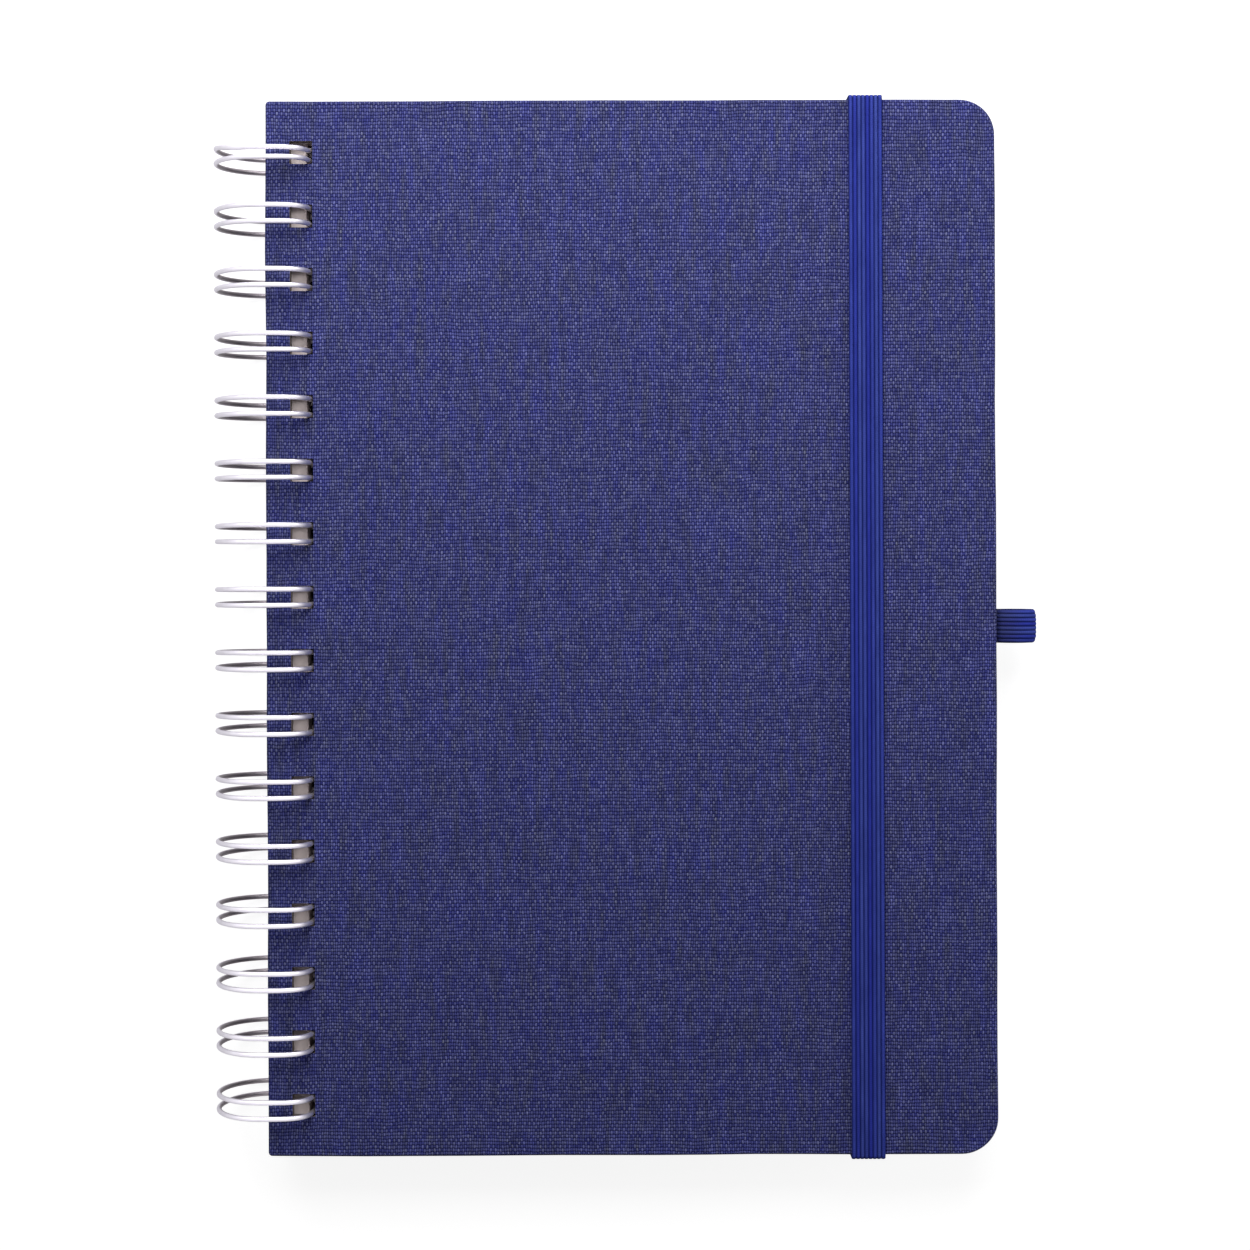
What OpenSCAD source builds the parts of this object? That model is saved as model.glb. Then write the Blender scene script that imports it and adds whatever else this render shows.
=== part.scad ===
/* [Cover] */
// Width of each cover, spine edge to fore edge
cover_w = 146; // [120:1:220]
// Height of each cover, tail to head
cover_h = 211; // [208:1:300]
// Thickness of the greyboard in each cover
board_t = 1.8; // [1.6:0.1:2.2]
// Thickness of the book cloth
cloth_t = 0.3; // [0.2:0.05:0.4]
// Thickness of the paper that lines each cover
lining_t = 0.15; // [0.1:0.05:0.3]
// How far the cloth is turned in over the inside of the board
turn_in = 15; // [12:1:20]
// How far the lining stays back from the cover's edge
lining_inset = 3; // [1:0.5:4]
// Radius of the two corners at the fore edge
fore_corner_r = 7.2; // [3.5:0.1:12]
// Radius of the two corners at the spine edge
spine_corner_r = 0.8; // [0.6:0.1:1.5]

/* [Pages] */
// Thickness of the whole stack of sheets
pages_t = 5.7; // [4:0.1:6.5]
// How far the sheets stay back from the covers' head and tail
page_head_inset = 1; // [0.5:0.1:4]
// How far the sheets stay back from the covers' fore edge
page_fore_inset = 3.2; // [2:0.1:8]
// Radius of the sheets' corners at the fore edge
page_corner_r = 6; // [2:0.5:10]
// Gap between the stack and each cover
page_gap = 0.1; // [0.05:0.05:0.3]

/* [Wire binding] */
// Thickness of the wire
wire_d = 1; // [0.8:0.1:1.1]
// Radius of a loop, to the middle of the wire
loop_r = 9.8; // [9.5:0.1:11]
// Number of twin loops
loop_count = 16; // [8:1:16]
// Distance from one twin loop to the next
loop_pitch = 12.7; // [12:0.1:12.9]
// Gap between a loop's two wires at the front, middle to middle
twin_front = 3.3; // [2.8:0.1:3.4]
// Gap between a loop's two wires at the back, middle to middle
twin_back = 2.7; // [2.4:0.1:2.8]
// Bend radius where a loop turns into the bridge to the next one
bridge_bend_r = 1.3; // [1:0.1:1.6]
// Angle round the loop of the seam where its tip meets its bridges
seam_angle = 290; // [284:1:292]
// Gap left at that seam
seam_gap = 0.4; // [0.2:0.1:0.8]

/* [Punched holes] */
// Width of a hole, across the spine edge
hole_w = 4.6; // [4.3:0.1:5]
// Height of a hole, along the spine edge
hole_h = 4.6; // [4.5:0.1:5]
// Cover left between its spine edge and its holes
cover_hole_margin = 4.9; // [4:0.1:5]
// Paper left between the sheets' spine edge and their holes
page_hole_margin = 4.85; // [4:0.05:5]
// Clearance between the wire and the near side of a cover's hole
cover_hole_clear = 1.75; // [0.15:0.05:1.8]
// Clearance between the wire and the near side of the sheets' holes
page_hole_clear = 0.15; // [0.1:0.05:0.5]

/* [Elastic band] */
// Width of the elastic band
band_w = 6.7; // [5:0.1:12]
// Thickness of the elastic band
band_t = 0.8; // [0.7:0.05:1.1]
// Number of ribs across the elastic band
band_ribs = 8; // [5:1:9]
// Distance of the band's middle from the covers' fore edge
band_from_fore = 26; // [22:0.1:60]
// Clearance between the band and the covers
band_gap = 0.05; // [0.05:0.05:0.2]
// Distance of the band's slots from the head and tail edges
slot_from_edge = 18; // [14:1:40]
// Clearance round the band in its slots
slot_clear = 0.2; // [0.1:0.05:0.3]
// Length of each end of the band that is glued in under the lining
band_tail = 12; // [8:1:25]

/* [Pen loop] */
// Width of the elastic tape of the pen loop
tape_w = 6.7; // [5:0.1:12]
// Thickness of the tape
tape_t = 0.9; // [0.7:0.1:1]
// Number of ribs across the tape
tape_ribs = 8; // [5:1:9]
// Radius of the pen that the loop holds
pen_r = 3.9; // [3:0.1:5]
// Clearance between the loop and the covers' edges
loop_clear = 0.3; // [0.2:0.1:2]
// Length of the tape's ends that are glued in under the lining
tape_tail = 12; // [8:1:15]

/* [Hidden] */
$fn = 48;

// Amount by which a cutting shape runs past the face that it cuts
past = 1;

// Levels of a cover's layers, counted up from the middle of the stack of sheets
page_top = pages_t / 2;
lining_face = page_top + page_gap;
turn_in_face = lining_face + lining_t;
board_face = turn_in_face + cloth_t;
board_back = board_face + board_t;
cover_face = board_back + cloth_t;

// Places across the spine, counted from the loops' common axis
wire_r = wire_d / 2;
cover_hole_x = loop_inside(cover_face) - cover_hole_clear;
cover_left = cover_hole_x - cover_hole_margin;
cover_right = cover_left + cover_w;
page_hole_x = loop_inside(page_top) - page_hole_clear;
page_left = page_hole_x - page_hole_margin;
page_right = cover_right - page_fore_inset;

// A twin loop: its two wires lean towards each other at the back, and its tip ends short of the bridges
half_mid = (twin_front + twin_back) / 4;
lean = atan((twin_front - twin_back) / 4 / loop_r);
tip_angle = seam_angle - along_loop(seam_gap / 2 + wire_r + twin_back / 2);
base_angle = seam_angle - 360 + along_loop(seam_gap / 2 + wire_r + bridge_bend_r);
base_flare = flare(base_angle);
bridge_start = half_gap(base_angle) + bridge_bend_r * cos(base_flare);
// The press leaves a slight swelling at each end of a bend
swelling_r = wire_r * 1.06;
swelling_set = wire_r * 0.1;

// The elastic band, with the centre of its corner bends just inside the covers' edges
band_x = cover_right - band_from_fore;
band_bend = band_gap + 0.05;
band_z = cover_face + band_gap;
band_corner_y = cover_h / 2 + band_gap - band_bend;
slot_y = cover_h / 2 - slot_from_edge;
flat_band_t = band_t * 0.8;

// The pen loop, with its two ends pressed together into one flat tail
loop_outer_r = pen_r + tape_t;
tape_mid_r = pen_r + tape_t / 2;
tail_low = -turn_in_face - tape_t;
loop_z = -turn_in_face - tape_t / 2 + tape_mid_r * 0.85;
beside_cover = max(turn_in_face - abs(loop_z), 0);
loop_x = cover_right + loop_clear + sqrt(pow(loop_outer_r, 2) - pow(beside_cover, 2));

// The part's own frame: the middle of its footprint, on the surface that the loops rest on
loop_reach = loop_r + wire_r;
middle_x = (loop_x + loop_outer_r - loop_reach) / 2;

// Half-width across the inside of a loop at a height above its axis
function loop_inside(z) = sqrt(pow(loop_r - wire_r, 2) - pow(z, 2));

// Angle that a length takes up along a loop
function along_loop(length) = length / loop_r * 180 / PI;

// Half the gap between a loop's two wires at an angle round it
function half_gap(angle) = half_mid + loop_r * sin(angle) * sin(lean);

// Angle at which a loop's two wires draw apart there
function flare(angle) = asin(cos(angle) * sin(lean));

// Middle of a twin loop along the spine
function loop_y(i) = (i - (loop_count - 1) / 2) * loop_pitch;

// Sets the loops' axis at its height in the part's frame
module placed() {
    translate([-middle_x, 0, loop_reach]) children();
}

// A thing at the head and its mirror image at the tail
module head_and_tail() {
    children();
    mirror([0, 1, 0]) children();
}

// Outline of a cover or a sheet, with its own corner radii at the fore edge and the spine edge
module outline(left, right, height, fore_r, spine_r) {
    translate([left + spine_r, -height / 2])
        square([right - left - spine_r - fore_r, height]);
    translate([left, -height / 2 + spine_r])
        square([spine_r, height - 2 * spine_r]);
    translate([right - fore_r, -height / 2 + fore_r])
        square([fore_r, height - 2 * fore_r]);
    head_and_tail() {
        translate([left + spine_r, height / 2 - spine_r]) circle(spine_r);
        translate([right - fore_r, height / 2 - fore_r]) circle(fore_r);
    }
}

// Slab of a cover's outline, drawn in by inset on every side
module cover_slab(inset, low, high) {
    translate([0, 0, low])
        linear_extrude(high - low)
            outline(cover_left + inset, cover_right - inset, cover_h - 2 * inset,
                    max(fore_corner_r - inset, 0.5), max(spine_corner_r - inset, 0.3));
}

// Row of square holes that the loops pass through
module punched_holes(hole_x, low, high) {
    for (i = [0 : loop_count - 1])
        translate([hole_x, loop_y(i) - hole_h / 2, low])
            cube([hole_w, hole_h, high - low]);
}

// Stiff board of a cover, drawn as the front one
module cover_board() {
    difference() {
        cover_slab(cloth_t, board_face, board_back);
        punched_holes(cover_hole_x, board_face - past, board_back + past);
    }
}

// Cloth over a cover's outside and edges, turned in all round the inside
module cover_cloth() {
    difference() {
        cover_slab(0, turn_in_face, cover_face);
        cover_slab(cloth_t, board_face, board_back);
        cover_slab(turn_in, turn_in_face - past, board_face);
        punched_holes(cover_hole_x, turn_in_face - past, cover_face + past);
    }
}

// Paper over a cover's inside, which steps up onto the turned-in cloth near its edges
module cover_lining() {
    difference() {
        cover_slab(lining_inset, lining_face, board_face);
        difference() {
            cover_slab(lining_inset - past, turn_in_face, board_face + past);
            cover_slab(turn_in, turn_in_face - past, board_face + 2 * past);
        }
        cover_slab(turn_in + lining_t, lining_face - past, board_face - lining_t);
        punched_holes(cover_hole_x, lining_face - past, board_face + past);
    }
}

// Slots in the back cover for the elastic band, each with a recess in the board for its glued end
module band_slots() {
    head_and_tail()
        translate([band_x - band_w / 2 - slot_clear, 0, 0]) {
            translate([0, slot_y - band_t - slot_clear, -cover_face - past])
                cube([band_w + 2 * slot_clear, band_t + 2 * slot_clear, board_t + cloth_t + past]);
            translate([0, slot_y - band_t - band_tail - slot_clear, -board_face - band_t])
                cube([band_w + 2 * slot_clear, band_tail + band_t, band_t]);
        }
}

// Recess at the back cover's fore edge for the pen loop's tail, larger by spare on its sides and floor
module tail_recess(spare) {
    translate([cover_right - tape_tail - slot_clear - spare,
               -tape_w / 2 - slot_clear - spare,
               tail_low - spare])
        cube([tape_tail + slot_clear + spare + past,
              tape_w + 2 * (slot_clear + spare),
              tape_t + spare + past]);
}

module back_board() {
    color("tan") placed() difference() {
        mirror([0, 0, 1]) cover_board();
        band_slots();
        tail_recess(cloth_t);
    }
}

module back_cloth() {
    color("midnightblue") placed() difference() {
        union() {
            mirror([0, 0, 1]) cover_cloth();
            intersection() {
                tail_recess(cloth_t);
                mirror([0, 0, 1]) cover_slab(0, turn_in_face, cover_face);
            }
        }
        band_slots();
        tail_recess(0);
    }
}

module back_lining() {
    color("ivory") placed() mirror([0, 0, 1]) cover_lining();
}

module front_board() {
    color("tan") placed() cover_board();
}

module front_cloth() {
    color("midnightblue") placed() cover_cloth();
}

module front_lining() {
    color("ivory") placed() cover_lining();
}

// The whole stack of punched sheets
module page_block() {
    color("whitesmoke") placed() difference() {
        translate([0, 0, -page_top])
            linear_extrude(pages_t)
                outline(page_left, page_right, cover_h - 2 * page_head_inset, page_corner_r, 0.5);
        punched_holes(page_hole_x, -page_top - past, page_top + past);
    }
}

// Swelling of the wire where an arc in the XY plane ends
module swelling(radius, angle) {
    rotate([0, 0, angle])
        translate([radius, 0, 0])
            sphere(swelling_r);
}

// Arc of wire in the XY plane, which ends just inside a swelling at each end
module wire_arc(radius, from, to) {
    set = swelling_set / radius * 180 / PI;
    rotate([0, 0, from + set])
        rotate_extrude(angle = to - from - 2 * set)
            translate([radius, 0])
                circle(wire_r);
}

// One of a loop's two wires, round from the bridge to the tip
module loop_wire(side) {
    translate([0, side * half_mid, 0])
        rotate([90 - side * lean, 0, 0])
            wire_arc(loop_r, base_angle, tip_angle);
}

// Moves to an angle round a loop, with X along its wires towards higher angles for way = 1, else lower
module on_loop(angle, way) {
    translate([loop_r * cos(angle), 0, loop_r * sin(angle) * cos(lean)])
        rotate([0, -atan2(way * cos(angle) * cos(lean), -way * sin(angle)), 0])
            children();
}

// Closed tip that joins a loop's two wires
module loop_tip() {
    tip_flare = flare(tip_angle);
    tip_r = half_gap(tip_angle) / cos(tip_flare);
    translate([tip_r * sin(tip_flare), 0, 0]) {
        wire_arc(tip_r, -90 - tip_flare, 90 + tip_flare);
        swelling(tip_r, -90 - tip_flare);
        swelling(tip_r, 90 + tip_flare);
    }
}

// Bend from a loop's wire towards the next loop
module bridge_bend() {
    translate([bridge_bend_r * sin(base_flare), bridge_start, 0]) {
        wire_arc(bridge_bend_r, -90 - base_flare, 0);
        swelling(bridge_bend_r, -90 - base_flare);
        swelling(bridge_bend_r, 0);
    }
}

// Straight bridge from one twin loop to the next
module bridge() {
    translate([bridge_bend_r * (1 + sin(base_flare)), bridge_start + swelling_set, 0])
        rotate([-90, 0, 0])
            cylinder(h = loop_pitch - 2 * (bridge_start + swelling_set), r = wire_r);
}

// The one continuous wire, combed into twin loops and closed round into a row of rings
module twin_loop_wire() {
    color("silver") placed()
        for (i = [0 : loop_count - 1])
            translate([0, loop_y(i), 0]) {
                loop_wire(1);
                loop_wire(-1);
                on_loop(tip_angle, 1) loop_tip();
                on_loop(base_angle, -1) {
                    head_and_tail() bridge_bend();
                    if (i < loop_count - 1) bridge();
                }
            }
}

// Section across the elastic band, its width along X, with a rib for each rubber cord in it
module band_section() {
    rib_row = band_w - band_t;
    translate([-rib_row / 2, -flat_band_t / 2])
        square([rib_row, flat_band_t]);
    for (i = [0 : band_ribs - 1])
        translate([(i / (band_ribs - 1) - 0.5) * rib_row, 0])
            circle(band_t / 2);
}

// Run of the band along Y between two places
module band_run(from, to) {
    translate([0, to, band_t / 2])
        rotate([90, 0, 0])
            linear_extrude(to - from)
                band_section();
}

// Quarter bend of the band round a cover's edge, from along Y to down
module band_corner() {
    translate([0, 0, -band_bend])
        rotate([0, -90, 0])
            rotate_extrude(angle = 90)
                translate([band_bend + band_t / 2, 0])
                    rotate([0, 0, 90])
                        band_section();
}

// Flat stretch of the band inside the back cover: up through its slot and in under the lining
module band_end() {
    side = (band_t - flat_band_t) / 2;
    low = -board_face - band_t + side;
    translate([-band_w / 2, slot_y - band_t + side, -band_z - band_t / 2])
        cube([band_w, flat_band_t, low + flat_band_t + band_z + band_t / 2]);
    translate([-band_w / 2, slot_y - band_t - band_tail, low])
        cube([band_w, band_tail + band_t / 2, flat_band_t]);
}

// The band, over the front cover and round its head and tail edges to the back cover
module elastic_band() {
    color("royalblue") placed() translate([band_x, 0, 0]) {
        translate([0, 0, band_z])
            band_run(-band_corner_y, band_corner_y);
        head_and_tail() {
            translate([0, band_corner_y, band_z]) band_corner();
            mirror([0, 0, 1]) translate([0, band_corner_y, band_z]) band_corner();
            translate([0, band_corner_y + band_bend, 0])
                rotate([-90, 0, 0])
                    band_run(-cover_face - band_gap + band_bend, cover_face + band_gap - band_bend);
            mirror([0, 0, 1]) translate([0, 0, band_z]) band_run(slot_y - band_t, band_corner_y);
            band_end();
        }
    }
}

// Section through the pen loop's tape, its width along Y, with its ribs on the outside
module tape_section() {
    rib_r = tape_t / 3;
    translate([pen_r, -tape_w / 2])
        square([tape_t - rib_r, tape_w]);
    for (i = [0 : tape_ribs - 1])
        translate([loop_outer_r - rib_r, (i / (tape_ribs - 1) - 0.5) * (tape_w - 2 * rib_r)])
            circle(rib_r);
}

// The pen loop: a ring of tape whose two ends run together into the back cover, under its lining
module pen_loop() {
    color("royalblue") placed() {
        translate([loop_x, 0, loop_z])
            rotate([90, 0, 0])
                rotate_extrude()
                    tape_section();
        translate([cover_right - tape_tail, -tape_w / 2, tail_low + tape_t * 0.05])
            cube([loop_x - loop_outer_r / 2 - cover_right + tape_tail, tape_w, tape_t * 0.9]);
    }
}

back_board();
back_cloth();
back_lining();
front_board();
front_cloth();
front_lining();
page_block();
twin_loop_wire();
elastic_band();
pen_loop();
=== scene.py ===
import math
import random

import bmesh
import bpy
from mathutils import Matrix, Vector, noise


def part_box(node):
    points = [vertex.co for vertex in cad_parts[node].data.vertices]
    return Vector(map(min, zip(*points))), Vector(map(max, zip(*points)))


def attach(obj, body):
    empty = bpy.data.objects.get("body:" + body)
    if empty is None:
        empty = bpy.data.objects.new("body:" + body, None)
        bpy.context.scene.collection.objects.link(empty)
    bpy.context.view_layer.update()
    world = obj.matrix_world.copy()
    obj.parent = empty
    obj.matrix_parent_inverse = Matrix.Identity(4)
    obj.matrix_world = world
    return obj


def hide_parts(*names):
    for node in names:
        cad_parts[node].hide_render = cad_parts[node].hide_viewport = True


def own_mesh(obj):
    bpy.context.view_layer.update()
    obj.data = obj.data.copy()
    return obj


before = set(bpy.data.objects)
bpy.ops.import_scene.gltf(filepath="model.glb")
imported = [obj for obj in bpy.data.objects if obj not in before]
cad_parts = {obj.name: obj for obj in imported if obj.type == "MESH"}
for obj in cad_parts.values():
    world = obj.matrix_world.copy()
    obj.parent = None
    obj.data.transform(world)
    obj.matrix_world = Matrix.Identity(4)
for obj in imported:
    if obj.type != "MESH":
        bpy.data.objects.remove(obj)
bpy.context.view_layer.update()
MM = 0.001


# Greyboards
# The stiff core of each cover: pressed grey waste-paper board, die-cut with the cloth already on it.
# It shows only as the raw walls of the punched holes and of the slots in the back cover.

def start_material(name, roughness, **sockets):
    """A new material, its node tree and its Principled shader with plain values on its own sockets."""
    material = bpy.data.materials.new(name)
    material.use_nodes = True
    tree = material.node_tree
    shader = tree.nodes["Principled BSDF"]
    shader.inputs["Roughness"].default_value = roughness
    for socket, value in sockets.items():
        shader.inputs[socket.replace("_", " ")].default_value = value
    return material, tree, shader


def put(tree, kind, inputs=None, **settings):
    """Adds one node, sets it up, and gives each input a value or a link."""
    node = tree.nodes.new(kind)
    for name, value in settings.items():
        setattr(node, name, value)
    for socket, value in (inputs or {}).items():
        if isinstance(value, bpy.types.NodeSocket):
            tree.links.new(value, node.inputs[socket])
        else:
            node.inputs[socket].default_value = value
    return node


def calc(tree, operation, *values):
    """The result of one Math node."""
    return put(tree, "ShaderNodeMath", dict(enumerate(values)), operation=operation).outputs[0]


def vector_calc(tree, operation, *values):
    """The result of one Vector Math node."""
    return put(tree, "ShaderNodeVectorMath", dict(enumerate(values)), operation=operation).outputs[0]


def remap(tree, value, old=(0, 1), new=(0, 1), curve="LINEAR"):
    """A value carried over from one range to another and held inside it."""
    sockets = {"Value": value, "From Min": old[0], "From Max": old[1], "To Min": new[0], "To Max": new[1]}
    return put(tree, "ShaderNodeMapRange", sockets, interpolation_type=curve).outputs[0]


def blend_colours(tree, share, first, second, blend_type="MIX"):
    """The result of one colour Mix node. Its colour inputs are its seventh and eighth sockets."""
    node = put(tree, "ShaderNodeMix", {0: share, 6: first, 7: second}, data_type="RGBA",
               blend_type=blend_type)
    return node.outputs[2]


def stretched_noise(tree, place, scale, detail=2.0, roughness=0.5):
    """A grey noise at a place that is scaled by its own amount along each axis."""
    sockets = {"Vector": vector_calc(tree, "MULTIPLY", place, scale), "Scale": 1.0, "Detail": detail,
               "Roughness": roughness}
    return put(tree, "ShaderNodeTexNoise", sockets).outputs["Fac"]


def raise_surface(tree, shader, height, distance):
    """Feeds a height through a Bump node at full strength to the shader's normal."""
    bump = put(tree, "ShaderNodeBump", {"Height": height, "Distance": distance, "Strength": 1.0})
    tree.links.new(bump.outputs[0], shader.inputs["Normal"])


def dress(node_name, material):
    """Gives a node of the CAD frame its material."""
    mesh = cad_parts[node_name].data
    mesh.materials.clear()
    mesh.materials.append(material)


greyboard, tree, shader = start_material("greyboard", 0.92, Specular_IOR_Level=0.2)
place = put(tree, "ShaderNodeTexCoord").outputs["Object"]
fibre = stretched_noise(tree, place, (900, 900, 5200), 4)
fleck = stretched_noise(tree, place, (3100, 3100, 3100), 2)
board_tone = blend_colours(tree, fibre, (0.1, 0.08, 0.066, 1), (0.26, 0.215, 0.185, 1))
board_tone = blend_colours(tree, remap(tree, fleck, (0.6, 0.75)), board_tone, (0.05, 0.04, 0.035, 1))
tree.links.new(board_tone, shader.inputs["Base Color"])
raise_surface(tree, shader, fibre, 0.00012)
for name in ("back_board", "front_board"):
    dress(name, greyboard)


# Book cloth
# Plain-weave cloth in mixed dark blue and violet-blue yarns, glued over each board and turned in all
# round its inside. Board and cloth are punched together for the wire loops.

CLOTH = 0.3 * MM
BOARD = 1.8 * MM
TURN_IN = 15 * MM
FORE_CORNER = 7.2 * MM
SPINE_CORNER = 0.8 * MM
EDGE_ROUNDING = 0.55 * MM
INSIDE_ROUNDING = 0.2 * MM
WANDER = 0.22 * MM
WANDER_REACH = 3 * MM
WANDERS_ALONG = 21
WANDERS_ACROSS = 15
HOLE = 4.6 * MM
HOLE_MARGIN = 4.9 * MM
LOOPS = 16
PITCH = 12.7 * MM
# How far a cut runs past the surface that it opens, and the distance under which two places are the same
PAST = 1 * MM
SAME = 1e-6


def select_only(piece):
    """Makes a piece the only selected one and the active one."""
    bpy.ops.object.select_all(action="DESELECT")
    piece.select_set(True)
    bpy.context.view_layer.objects.active = piece


def open_edit(piece, mode="EDGE"):
    """Opens one piece in edit mode with nothing selected."""
    select_only(piece)
    bpy.ops.object.mode_set(mode="EDIT")
    bpy.ops.mesh.select_mode(type=mode)
    bpy.ops.mesh.select_all(action="DESELECT")


def pick(piece, kind, test):
    """Selects the vertices, edges or faces of the piece in edit mode that pass a test."""
    mesh = bmesh.from_edit_mesh(piece.data)
    for part in getattr(mesh, kind):
        part.select_set(bool(test(part)))
    bmesh.update_edit_mesh(piece.data)


def close_edit():
    """Goes back to object mode."""
    bpy.ops.object.mode_set(mode="OBJECT")


def box_between(name, low, high):
    """A box between two corners, with its place in its mesh."""
    bpy.ops.object.select_all(action="DESELECT")
    low, high = Vector(low), Vector(high)
    bpy.ops.mesh.primitive_cube_add(size=1, location=(low + high) / 2)
    piece = bpy.context.object
    piece.name = piece.data.name = name
    piece.scale = high - low
    bpy.ops.object.transform_apply(location=True, rotation=True, scale=True)
    return piece


def upright_at(x):
    """A test for the upright edges at one place across the piece."""
    def test(edge):
        a, b = (v.co for v in edge.verts)
        at_x = abs(a.x - x) < SAME and abs(b.x - x) < SAME
        return at_x and abs(a.y - b.y) < SAME and abs(a.z - b.z) > SAME
    return test


def rim_at(z):
    """A test for the edges round the outline of a slab's upper or lower face."""
    def test(edge):
        level = all(abs(v.co.z - z) < SAME for v in edge.verts)
        return level and any(abs(f.normal.z) < 0.5 for f in edge.link_faces)
    return test


def slab(name, low, high, fore_radius, spine_radius):
    """A flat slab with rounded corners, larger at the fore edge than at the spine edge."""
    piece = box_between(name, low, high)
    open_edit(piece)
    pick(piece, "edges", upright_at(high[0]))
    bpy.ops.mesh.bevel(offset=fore_radius, segments=14)
    bpy.ops.mesh.select_all(action="DESELECT")
    pick(piece, "edges", upright_at(low[0]))
    bpy.ops.mesh.bevel(offset=spine_radius, segments=4)
    close_edit()
    return piece


def use_modifier(piece, kind, **settings):
    """Adds one modifier, sets it and applies it."""
    select_only(piece)
    bpy.ops.object.modifier_add(type=kind)
    modifier = piece.modifiers[-1]
    for name, value in settings.items():
        setattr(modifier, name, value)
    bpy.ops.object.modifier_apply(modifier=modifier.name)


def cut_away(piece, tool):
    """Cuts a tool's shape out of a piece and deletes the tool."""
    use_modifier(piece, "BOOLEAN", operation="DIFFERENCE", solver="EXACT", object=tool)
    bpy.data.objects.remove(tool)


def punch_row(left, low_z, high_z):
    """The punch for one row of square holes, one to each twin loop."""
    first = -(LOOPS - 1) / 2 * PITCH
    tool = box_between("punch", (left, first - HOLE / 2, low_z),
                       (left + HOLE, first + HOLE / 2, high_z))
    use_modifier(tool, "ARRAY", count=LOOPS, use_relative_offset=False, use_constant_offset=True,
                 constant_offset_displace=(0, PITCH, 0))
    return tool


def cloth_cover(node_name, side):
    """The cloth of one cover: an outer skin rounded over the board's edges and turned in on the inside.
    Side is 1 for the front cover, whose face is up, and -1 for the back cover."""
    low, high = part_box(node_name)
    face, inside = (high.z, low.z) if side > 0 else (low.z, high.z)
    cover = slab(node_name + "_skin", low, high, FORE_CORNER, SPINE_CORNER)
    open_edit(cover)
    pick(cover, "edges", rim_at(face))
    bpy.ops.mesh.bevel(offset=EDGE_ROUNDING, segments=4, clamp_overlap=True)
    bpy.ops.mesh.select_all(action="DESELECT")
    pick(cover, "edges", rim_at(inside))
    bpy.ops.mesh.bevel(offset=INSIDE_ROUNDING, segments=2, clamp_overlap=True)
    # Cuts that give the outline its points to wander at
    for step in range(1, WANDERS_ALONG):
        bpy.ops.mesh.select_all(action="SELECT")
        y = low.y + (high.y - low.y) * step / WANDERS_ALONG
        bpy.ops.mesh.bisect(plane_co=(0, y, 0), plane_no=(0, 1, 0))
    for step in range(1, WANDERS_ACROSS):
        bpy.ops.mesh.select_all(action="SELECT")
        x = low.x + (high.x - low.x) * step / WANDERS_ACROSS
        bpy.ops.mesh.bisect(plane_co=(x, 0, 0), plane_no=(1, 0, 0))
    close_edit()
    wander(cover, low, high, face)

    # Room for the board, the opening that the turned-in cloth leaves, and the punched holes
    skin = Vector((CLOTH, CLOTH, 0))
    board_z = sorted((inside + side * CLOTH, inside + side * (CLOTH + BOARD)))
    cut_away(cover, slab("board_room", Vector((low.x, low.y, board_z[0])) + skin,
                         Vector((high.x, high.y, board_z[1])) - skin,
                         FORE_CORNER - CLOTH, SPINE_CORNER - CLOTH))
    margin = Vector((TURN_IN, TURN_IN, 0))
    open_z = sorted((inside - side * PAST, inside + side * 2 * CLOTH))
    cut_away(cover, box_between("turn_in_opening", Vector((low.x, low.y, open_z[0])) + margin,
                                Vector((high.x, high.y, open_z[1])) - margin))
    cut_away(cover, punch_row(low.x + HOLE_MARGIN, low.z - PAST, high.z + PAST))
    return cover, face


def wander(cover, low, high, face):
    """Lets the cover's outline wander by a hair, as hand-turned cloth does."""
    for vertex in cover.data.vertices:
        x, y, z = vertex.co
        for axis, at, across in ((0, x, y), (1, y, x)):
            near = max(1 - min(at - low[axis], high[axis] - at) / WANDER_REACH, 0)
            shift = noise.noise(Vector((across * 45, axis * 7 + (at > 0) * 3, face * 400)))
            vertex.co[axis] += near * shift * WANDER


def lay_weave(cover, face):
    """Unrolls the cloth over the edges into a UV map in millimetres, so that its threads run on."""
    mesh = cover.data
    cloth = mesh.uv_layers.new(name="cloth")
    for polygon in mesh.polygons:
        along_x = abs(polygon.normal.x) > abs(polygon.normal.y)
        for corner in polygon.loop_indices:
            x, y, z = mesh.vertices[mesh.loops[corner].vertex_index].co
            drop = abs(z - face)
            if along_x:
                x += math.copysign(drop, x)
            else:
                y += math.copysign(drop, y)
            cloth.data[corner].uv = (x / MM, y / MM)


def blend_values(tree, share, first, second):
    """The result of one Mix node between plain values, which are its third and fourth inputs."""
    return put(tree, "ShaderNodeMix", {0: share, 2: first, 3: second}).outputs[0]


def group_with(name, inputs, outputs):
    """A new shader group, the sockets that feed it and the sockets that it fills."""
    group = bpy.data.node_groups.new(name, "ShaderNodeTree")
    for in_out, sockets in (("INPUT", inputs), ("OUTPUT", outputs)):
        for socket, kind in sockets.items():
            group.interface.new_socket(socket, in_out=in_out, socket_type="NodeSocket" + kind)
    given = group.nodes.new("NodeGroupInput").outputs
    return group, given, group.nodes.new("NodeGroupOutput").inputs


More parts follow.
